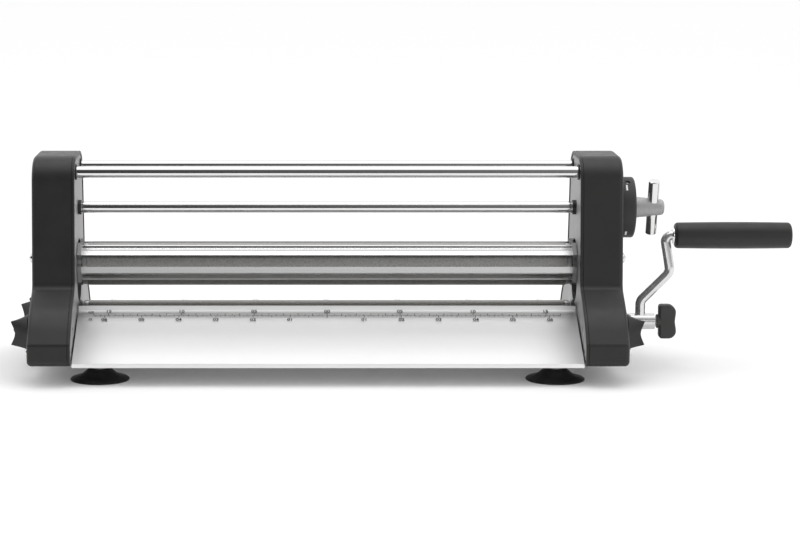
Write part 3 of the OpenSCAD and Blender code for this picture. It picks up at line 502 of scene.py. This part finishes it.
def bent_rod(points, radii, r, n=32, steps=10):
    """Round rod along a path in the machine's X and Z, its corners bent by the radii."""
    points = [Vector(p) for p in points]
    line = [points[0]]
    for a, b, c, bend in zip(points, points[1:], points[2:], radii):
        centre, start, end = corner(a, b, c, bend)
        line += [centre + start.lerp(end, k / steps).normalized() * bend
                 for k in range(steps + 1)]
    line.append(points[-1])
    rings = []
    for i, p in enumerate(line):
        d = (line[min(i + 1, len(line) - 1)] - line[max(i - 1, 0)]).normalized()
        rings.append([place(p.x - d.y * r * math.cos(a), r * math.sin(a),
                            p.y + d.x * r * math.cos(a)) for a in turns(n)])
    return loft(rings)


CRANK_X, ELBOW_X, SPINDLE_X = 218.4, 238.5, 234.0
CRANK_PATH = [(CRANK_X, LOWER_Z + 4.1), (CRANK_X, LOWER_Z + 14.4), (ELBOW_X, LOWER_Z + 35.0),
              (SPINDLE_X, LOWER_Z + 60.4), (SPINDLE_X + 8.0, LOWER_Z + 60.4)]
CRANK_BENDS = [6.5, 7, 4.2]
CRANK_R = 3.5
piece("crank_rod", "lower_roller_set", NICKEL, bent_rod(CRANK_PATH, CRANK_BENDS, CRANK_R),
      replaces=["crank_arm"], smooth=50)


# Wing knob: a plate with a waist, on a round neck

SPAN = 11.9
WING_OUTLINE = rounded([(231.4, LOWER_Z - SPAN), (244.2, LOWER_Z - SPAN),
                        (242.3, LOWER_Z + 0.2), (243.6, LOWER_Z + SPAN),
                        (231.0, LOWER_Z + SPAN)], [2.2, 5.4, 7, 5.4, 2.2], 8)
# Distance from the plate's middle and inset, then place and radius along the neck
WING_LAYERS = [(-4.6, 1.6), (-4.3, 0.7), (-3.6, 0.15), (-2.6, 0),
               (2.6, 0), (3.6, 0.15), (4.3, 0.7), (4.6, 1.6)]
WING_NECK = [(229.6, 4.1), (229.6, 4.5), (229.9, 4.8), (231.4, 4.8), (232.6, 4.4), (232.6, 4.1)]
wing = loft([[place(q.x, y, q.y) for q in inset(WING_OUTLINE, by)] for y, by in WING_LAYERS])
piece("wing_knob", "clamp_knob", WING, joined([wing, lathe(WING_NECK, 0, LOWER_Z)]),
      replaces=["crank_clamp_knob"], smooth=35)


# Suction cups: radius and height, hollow below, with a full cone that takes the post

CUP = [(0.01, 2.4), (9.0, 2.1), (15.0, 1.1), (18.8, 0.0), (19.8, 0.0), (20.0, 0.2),
       (20.0, 0.7), (19.4, 1.2), (16.5, 1.9), (13.8, 2.9), (11.6, 4.2), (9.6, 6.0),
       (8.2, 7.4), (7.5, 7.8), (5.02, 7.8), (5.02, 5.7), (3.82, 5.7), (3.82, 3.3),
       (0.01, 3.3)]


def suction_cup(x, y):
    """One cup, turned about its upright axis."""
    return loft([[place(x + r * math.cos(a), y + r * math.sin(a), z) for a in turns(72)]
                 for r, z in CUP])


cups = [suction_cup(x, y) for x in (-CUP_X, CUP_X) for y in (-CUP_Y, CUP_Y)]
piece("cups", "frame", RUBBER, joined(cups), replaces=["suction_cups"], smooth=35)


# Guard strips and upper scrapers: their paths in Y and Z at the front

STRIP_T, STRIP_HALF = 0.9, 168.9
GUARD = [(-8.0, 85.2), (-9.6, 84.8), (-9.9, 83.5), (-12.5, 82.5), (-12.7, 82.0), (-14.9, 79.4)]
SCRAPER = [(-15.9, 71.4), (-18.0, 67.7), (-17.6, 66.9), (-13.7, 63.4), (-13.3, 62.4)]


def band(path, t):
    """Outline of a sheet of thickness t along a path."""
    path = [Vector(p) for p in path]
    ways = [(b - a).normalized() for a, b in zip(path, path[1:])]
    sides = [[], []]
    for p, d1, d2 in zip(path, ways[:1] + ways, ways + ways[-1:]):
        m = (d1 + d2).normalized()
        m = Vector((-m.y, m.x)) / max(m.dot(d1), 0.4)
        for s, out in zip((1, -1), sides):
            out.append(p + m * s * t / 2)
    return sides[0] + sides[1][::-1]


def strip(name, node, path, s):
    """Bent strip along the machine's width; s is 1 at the front and -1 at the back."""
    outline = band(path, STRIP_T)
    rings = [[place(x, s * q.x, q.y) for q in outline] for x in (-STRIP_HALF, STRIP_HALF)]
    piece(name, "carriage", STRIP, loft(rings), replaces=[node], smooth=25)


for end, s in (("front", 1), ("back", -1)):
    strip(end + "_guard_bend", end + "_guard_strip", GUARD, s)
    strip(end + "_scraper_bend", end + "_upper_scraper", SCRAPER, s)


# White marks on the dial's rim: place and radius of their section, and turns in degrees

MARK = [(204.6, 20.7), (204.6, 21.06), (205.8, 21.06), (205.8, 20.7)]
MARK_AT = {"thin": 47.4, "thick": -51.1}
MARK_STEPS = (-6.5, -3, 0, 3, 6.5)
for name, turn in MARK_AT.items():
    rings = [[place(x, -r * math.cos(a), SHAFT_Z + r * math.sin(a)) for x, r in MARK]
             for a in (math.radians(turn + step) for step in MARK_STEPS)]
    piece(f"dial_mark_{name}", "adjuster", WHITE, loft(rings), smooth=30)


# Rulers over the trays in thin ink, whose two faces stand this far above a tray's upper face

INK_LOW, INK_HIGH = 0.62, 0.66
INCH = 25.4
RULER_LINE, RULER_LONG = 7.6, 320
LINE_WIDE, TICK_WIDE = 0.25, 0.36
NUMBER_SIZE, UNIT_SIZE = 4.2, 3.4
UNIT_X = -162


def on_tray(t, lift):
    """A point above the front tray's upper face, t from its rear edge, seen from the side."""
    d = (TRAY_FREE - TRAY_REAR).normalized()
    return TRAY_REAR + d * t + Vector((d.y, -d.x)) * lift


def tick(x, t, length, wide, s):
    """A bar of ink from t to the rear, or to the free edge where its length is negative."""
    verts = []
    for lift in (INK_HIGH, INK_LOW):
        start, end = on_tray(t, lift), on_tray(t - length, lift)
        for way, p in ((-1, start), (1, start), (1, end), (-1, end)):
            verts.append(place(-s * (x + way * wide / 2), -s * p.x, p.y))
    faces = [(0, 1, 2, 3), (7, 6, 5, 4), (0, 4, 5, 1), (1, 5, 6, 2), (2, 6, 7, 3), (3, 7, 4, 0)]
    return verts, faces


def lettering(text, size, x, t, s):
    """A word in ink, in the ruler's plane."""
    curve = bpy.data.curves.new("word", "FONT")
    curve.body, curve.size, curve.offset = text, size, 0.06
    curve.extrude = (INK_HIGH - INK_LOW) / 2
    curve.align_x, curve.align_y = "CENTER", "CENTER"
    obj = linked("word", curve)
    data = final_mesh(obj)
    verts = []
    for v in data.vertices:
        q = on_tray(t - v.co.y, (INK_HIGH + INK_LOW) / 2 + v.co.z)
        verts.append(place(-s * (x + v.co.x), -s * q.x, q.y))
    faces = [tuple(p.vertices) for p in data.polygons]
    bpy.data.objects.remove(obj)
    bpy.data.curves.remove(curve)
    return verts, faces


def tick_length(i, lengths):
    """Length of tick i, by the first number of steps in lengths that it is a multiple of."""
    return next(length for steps, length in lengths.items() if i % steps == 0)


def ruler(name, s):
    """Ticks and numbers along the tray's rear edge; s is -1 at the front and 1 at the back."""
    parts = [tick(0, RULER_LINE, -LINE_WIDE, RULER_LONG, s)]
    for i in range(-32, 33):
        length = tick_length(i, {10: 2.6, 2: 2.0, 1: 1.1})
        parts.append(tick(5 * i, RULER_LINE, length, TICK_WIDE, s))
    for i in range(-50, 51):
        length = tick_length(i, {8: 2.6, 4: 1.6, 1: 0.9})
        parts.append(tick(i * INCH / 8, RULER_LINE, -length, TICK_WIDE, s))
    for cm in range(-15, 16, 5):
        parts.append(lettering(f"{abs(cm):02d}", NUMBER_SIZE, cm * 10, RULER_LINE - 4.6, s))
    for inch in (*range(-6, 0), *range(1, 7)):
        text = f"{abs(inch):02d}"
        parts.append(lettering(text, NUMBER_SIZE, inch * INCH, RULER_LINE + 4.8, s))
    parts.append(lettering("cm", UNIT_SIZE, UNIT_X, RULER_LINE - 4.2, s))
    parts.append(lettering("in", UNIT_SIZE, UNIT_X, RULER_LINE + 4.2, s))
    piece(name, "frame", INK, joined(parts), smooth=20)


ruler("front_ruler", -1)
ruler("back_ruler", 1)


# Floor, in metres, up to just below the picture's lower edge; it adds a little light of its
# own for the camera alone

FLOOR_SIDE, FLOOR_FRONT, FLOOR_BACK = 8, -0.48, 8
FLOOR_GLOW = 0.07
paint = Material("studio_floor")
paint.give("Base Color", (0.92, 0.92, 0.92, 1))
paint.give("Roughness", 0.9)
paint.give("Specular IOR Level", 0.1)
paint.give("Emission Color", (1, 1, 1, 1))
to_camera = paint.add("ShaderNodeLightPath").outputs["Is Camera Ray"]
glow = paint.add("ShaderNodeMath", to_camera, FLOOR_GLOW, operation="MULTIPLY")
paint.give("Emission Strength", glow.outputs[0])
floor_data = bpy.data.meshes.new("floor")
floor_data.from_pydata([(-FLOOR_SIDE, FLOOR_FRONT, 0), (FLOOR_SIDE, FLOOR_FRONT, 0),
                        (FLOOR_SIDE, FLOOR_BACK, 0), (-FLOOR_SIDE, FLOOR_BACK, 0)],
                       [], [(0, 1, 2, 3)])
floor_data.materials.append(paint.mat)
floor = linked("floor", floor_data)


# Surroundings: white for the camera and for matt surfaces. What shines mirrors a dark room in
# front of the machine, up to about 50 degrees, that is less dark at the right.

BRIGHT_WAY = (0.12, 0.766, 0.643)
DARK_TO, BRIGHT_FROM = 0.45, 0.57
LEFT_X, LEFT_GREY = -0.12, 0.03
RIGHT_X, RIGHT_GREY = 0.3, 0.3
ABOVE = (1.1, 1.1, 1.1, 1)
PLAIN = (1, 1, 1, 1)
world = bpy.data.worlds.new("studio")
bpy.context.scene.world = world
world.use_nodes = True
room = Nodes(world.node_tree)
room.tree.nodes.clear()
way = room.add("ShaderNodeTexCoord").outputs["Generated"]
rays = room.add("ShaderNodeLightPath").outputs
lean = room.add("ShaderNodeVectorMath", way, BRIGHT_WAY, operation="DOT_PRODUCT")
share = room.add("ShaderNodeMath", lean.outputs["Value"], 0.5, 0.5, operation="MULTIPLY_ADD")
bright = room.ramp(share.outputs[0], [(0.0, 0.0), (DARK_TO, 0.0), (BRIGHT_FROM, 1.0), (1.0, 1.0)])
across = room.add("ShaderNodeSeparateXYZ", way).outputs["X"]
grey = room.add("ShaderNodeMapRange", across, LEFT_X, RIGHT_X, LEFT_GREY, RIGHT_GREY)
mirrored = room.mix("RGBA", bright, grey.outputs["Result"], ABOVE)
unseen = room.mix("RGBA", rays["Is Glossy Ray"], PLAIN, mirrored)
seen = room.mix("RGBA", rays["Is Camera Ray"], unseen, PLAIN)
shade = room.add("ShaderNodeBackground", seen, 1.0)
room.add("ShaderNodeOutputWorld", shade.outputs[0])


# Lamps, in metres and watts

def lamp(name, at, towards, size, power):
    """A rectangular lamp that looks at a point."""
    data = bpy.data.lights.new(name, "AREA")
    data.shape, data.size, data.size_y, data.energy = "RECTANGLE", size[0], size[1], power
    obj = linked(name, data)
    obj.location = at
    obj.rotation_euler = (Vector(towards) - Vector(at)).to_track_quat("-Z", "Y").to_euler()


lamp("softbox_top", (0.0, 0.0, 1.5), (0, 0, 0.05), (1.6, 1.0), 5)
lamp("softbox_right", (0.95, -1.7, 0.5), (0.1, 0, 0.07), (1.0, 0.8), 3)


# Camera, where the photograph's stood, with the degrees by which it looks down

EYE = (-20, -1576.8, 324.6)
LOOK_DOWN = 9.2
cam_data = bpy.data.cameras.new("camera")
cam_data.lens, cam_data.sensor_width, cam_data.shift_x = 103.5, 36, 0.1275
camera = linked("camera", cam_data)
camera.location = place(*EYE)
camera.rotation_euler = (math.radians(90 - LOOK_DOWN), 0, 0)
bpy.context.scene.camera = camera
bpy.context.scene.view_settings.view_transform = "Standard"
